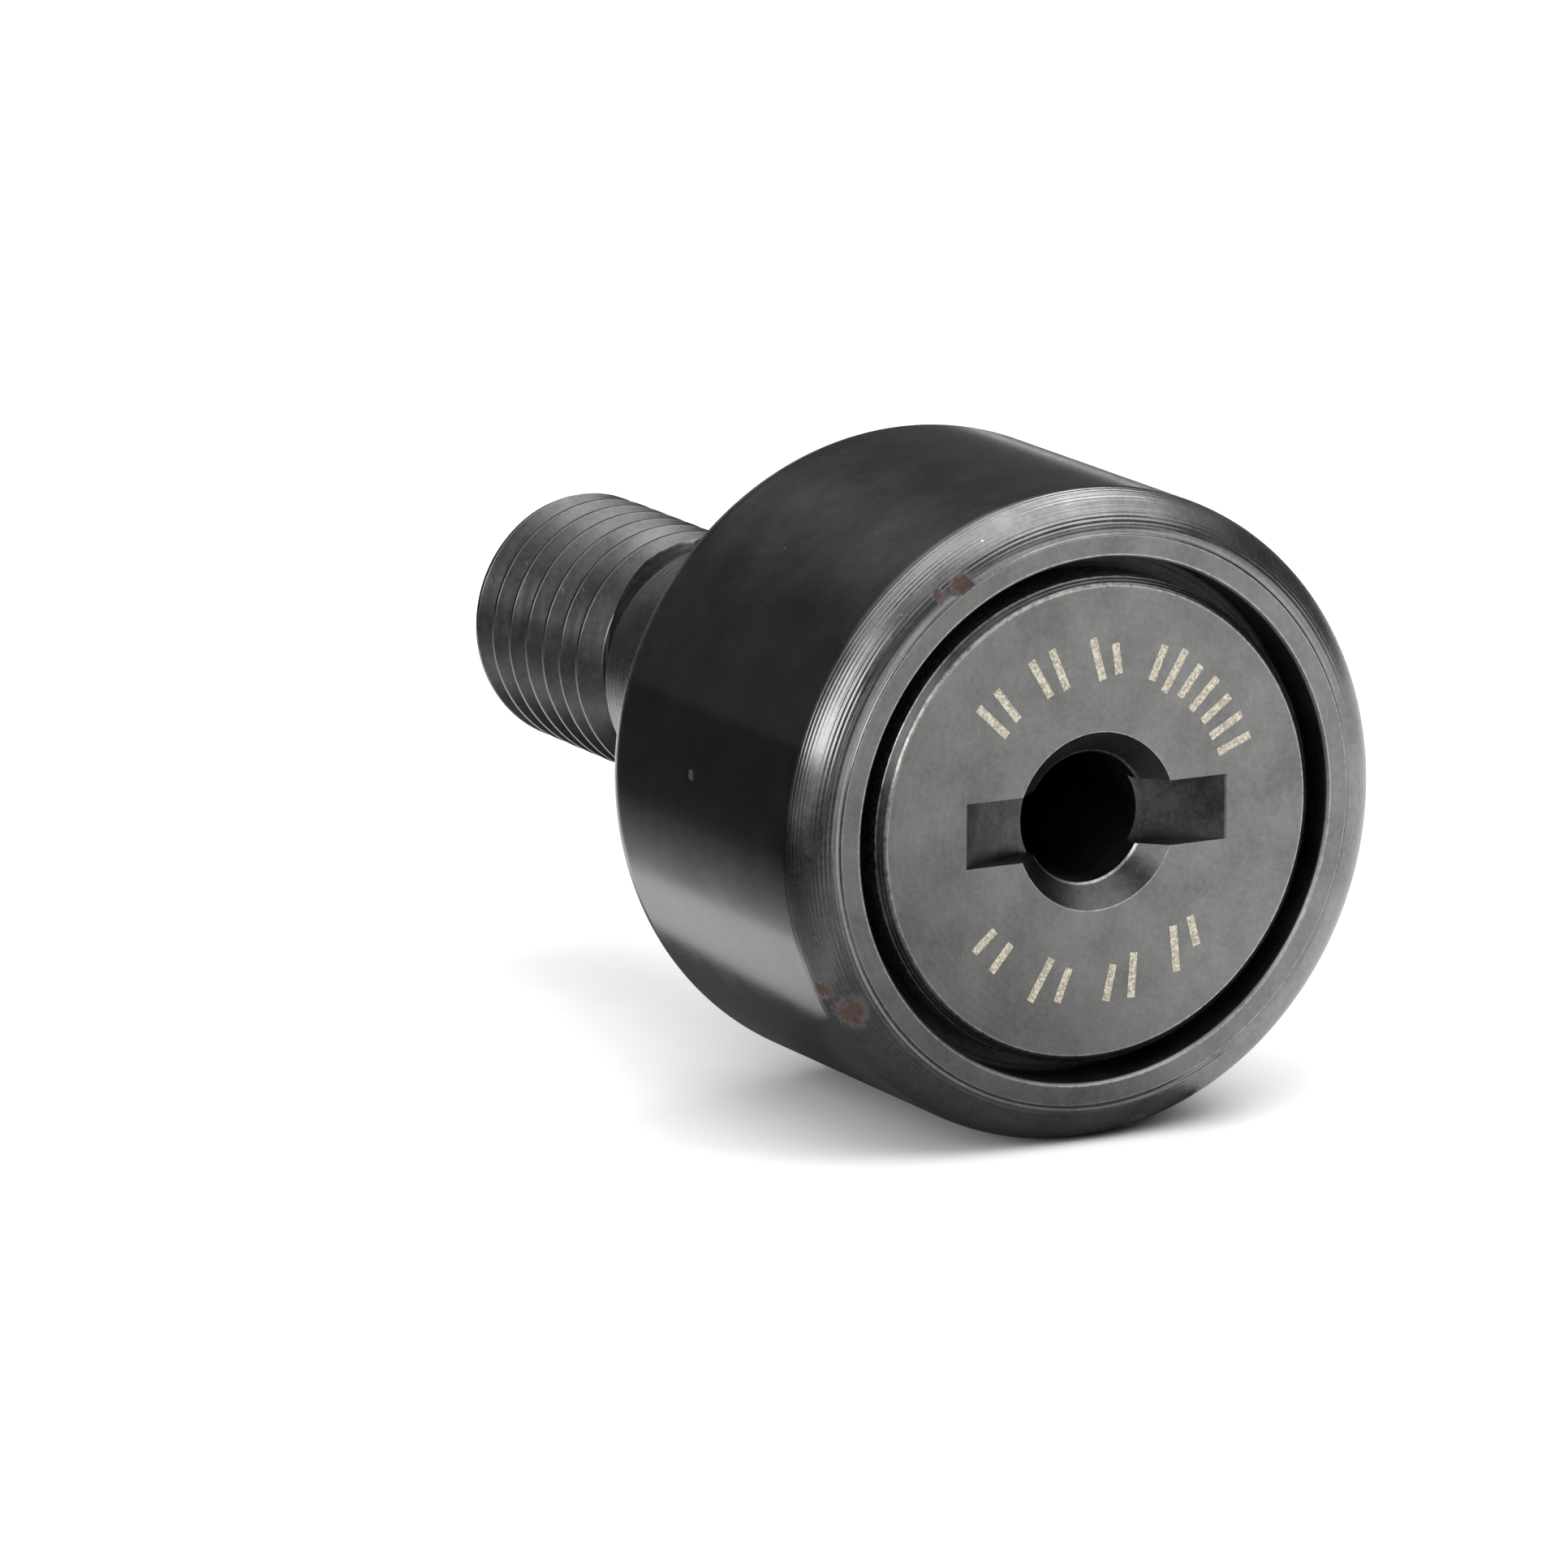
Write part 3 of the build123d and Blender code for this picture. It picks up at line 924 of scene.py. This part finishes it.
def dark_card(name, shade, corners, painted_light_fade=0):
    """A card that is seen only in reflections. Corners are in millimetres, and painted_light_fade is
    the height over which painted light on the card goes from pale at its foot to its dark shade."""
    material, tree, shader = new_finish(name + "_paper")
    shader.inputs["Base Color"].default_value = linear(shade)
    shader.inputs["Roughness"].default_value = 1.0
    if painted_light_fade:
        height = add(tree, "ShaderNodeSeparateXYZ", {0: axis_coordinates(tree)[0]}).outputs[2]
        amount = blend_between(tree, height, card_foot, card_foot + painted_light_fade)
        tree.links.new(mix_colour(tree, amount, "#E8E8E8", shade), shader.inputs["Base Color"])
    card = flat_sheet(name, corners, material)
    card.visible_camera = card.visible_diffuse = card.visible_shadow = False
    print(name, "corners:", len(corners))


def standing(start, end):
    """Corners of an upright card from one place (x, y) to another."""
    return [(*start, card_foot), (*end, card_foot), (*end, card_top), (*start, card_top)]


def lying(places, level=card_foot):
    """Corners of a card that lies on the floor."""
    return [(*place, level) for place in places]


# The side card's pale foot is painted light, fading to its dark shade over 6 mm.
dark_card("side_card", "#454545", standing((-11, -90), (-11, 60)), painted_light_fade=6)
dark_card("back_card", "#454545", standing((-11, 60), (110, 90)))
# Painted shadow: these two dark sheets lie on the floor and mirror as its shadow in front of and under
# the roller.
dark_card("front_painted_shadow_card", "#6E6E6E",
          lying([(-10.9, -90), (6, -90), (4, -13), (3, -9), (-5, -4), (-10.9, -5)]))
dark_card("under_painted_shadow_card", "#5A5A5A",
          lying([(-5.8, -11), (4, -11), (4, 12), (-8.2, 12)], card_foot - 0.02))
# This one hangs between the softbox and the tent's top, and splits the highlight on the corner.
dark_card("gap_card", "#2E2E2E",
          [(-160, -70, 155), (-80, -160, 155), (-15, -110, 190), (-95, -20, 190)])

# %% [markdown]
# Four softboxes light the scene. The one low at the front left makes the bright patch on the
# rounded corner, the left and back ones draw the stud, and a weak one at the right fills the face.
# A softbox's radiance, its power over its area, sets how bright it looks in a reflection.

# %% Softboxes
def softbox(name, place, target, size, watts):
    """A square area light that faces a point. Place, target and size are in millimetres."""
    data = bpy.data.lights.new(name, "AREA")
    data.shape = "SQUARE"
    data.size = size * MM
    data.energy = watts
    lamp = bpy.data.objects.new(name, data)
    position = Vector(place) * MM
    facing = (Vector(target) * MM - position).to_track_quat("-Z", "Y").to_matrix().to_4x4()
    lamp.matrix_world = Matrix.Translation(position) @ facing
    bpy.context.scene.collection.objects.link(lamp)
    radiance = watts / (pi * (size * MM) ** 2)
    print(name, "radiance:", round(radiance, 2))


softbox("corner_softbox", (-286, -202, 144), (0, -8, 0), 210, 0.70)
softbox("left_softbox", (-330, -20, 80), (0, -8, 0), 150, 0.34)
softbox("right_softbox", (170, -230, 260), (0, -8, 0), 200, 0.30)
softbox("back_softbox", (170, 150, 280), (0, 0, 0), 150, 0.30)

# %% [markdown]
# A light tent is bright overhead and falls away to a dark room at the horizon. The world copies
# that with a ramp on the height of the direction. The tread mirrors the dark horizon and the stud
# mirrors the bright top.

# %% Light tent
def light_tent(name, dark, bright, low, high):
    """A world that goes from dark at a low elevation to bright at a high one (sines)."""
    tent = bpy.data.worlds.new(name)
    tent.use_nodes = True
    tree = tent.node_tree
    direction = add(tree, "ShaderNodeTexCoord").outputs["Generated"]
    height = add(tree, "ShaderNodeSeparateXYZ", {0: direction}).outputs[2]
    rise = add(tree, "ShaderNodeMapRange", {0: height, 1: low, 2: high, 3: dark, 4: bright},
               interpolation_type="SMOOTHSTEP").outputs[0]
    background = tree.nodes["Background"]
    background.inputs[0].default_value = linear("#FFFFFF")
    tree.links.new(rise, background.inputs[1])
    return tent


bpy.context.scene.world = light_tent("light_tent", 0.11, 2.4, 0.45, 0.95)
bpy.context.scene.view_settings.view_transform = "Standard"
print("world:", bpy.context.scene.world.name)

# %% [markdown]
# The camera has a long lens and stands well back, so the roller is drawn with little perspective.
# It looks from the front left and slightly from above.

# %% Camera
azimuth, elevation, roll = radians(-28.6), radians(12.91), radians(0.26)
distance, target = 300 * MM, Vector((-4.596, -4.0, -0.044)) * MM
back = Vector((sin(azimuth) * cos(elevation), -cos(azimuth) * cos(elevation), sin(elevation)))
level = Vector((cos(azimuth), sin(azimuth), 0))
upward = back.cross(level)
right = level * cos(roll) + upward * sin(roll)
up = upward * cos(roll) - level * sin(roll)
camera_data = bpy.data.cameras.new("camera")
camera_data.sensor_width = 36
camera_data.lens = 286.0
camera_data.clip_start, camera_data.clip_end = 0.01, 10
camera = bpy.data.objects.new("camera", camera_data)
turned = Matrix((right, up, back)).transposed().to_4x4()
camera.matrix_world = Matrix.Translation(target + back * distance) @ turned
bpy.context.scene.collection.objects.link(camera)
bpy.context.scene.camera = camera
print("camera at, in mm:", [round(part / MM, 1) for part in camera.matrix_world.translation])
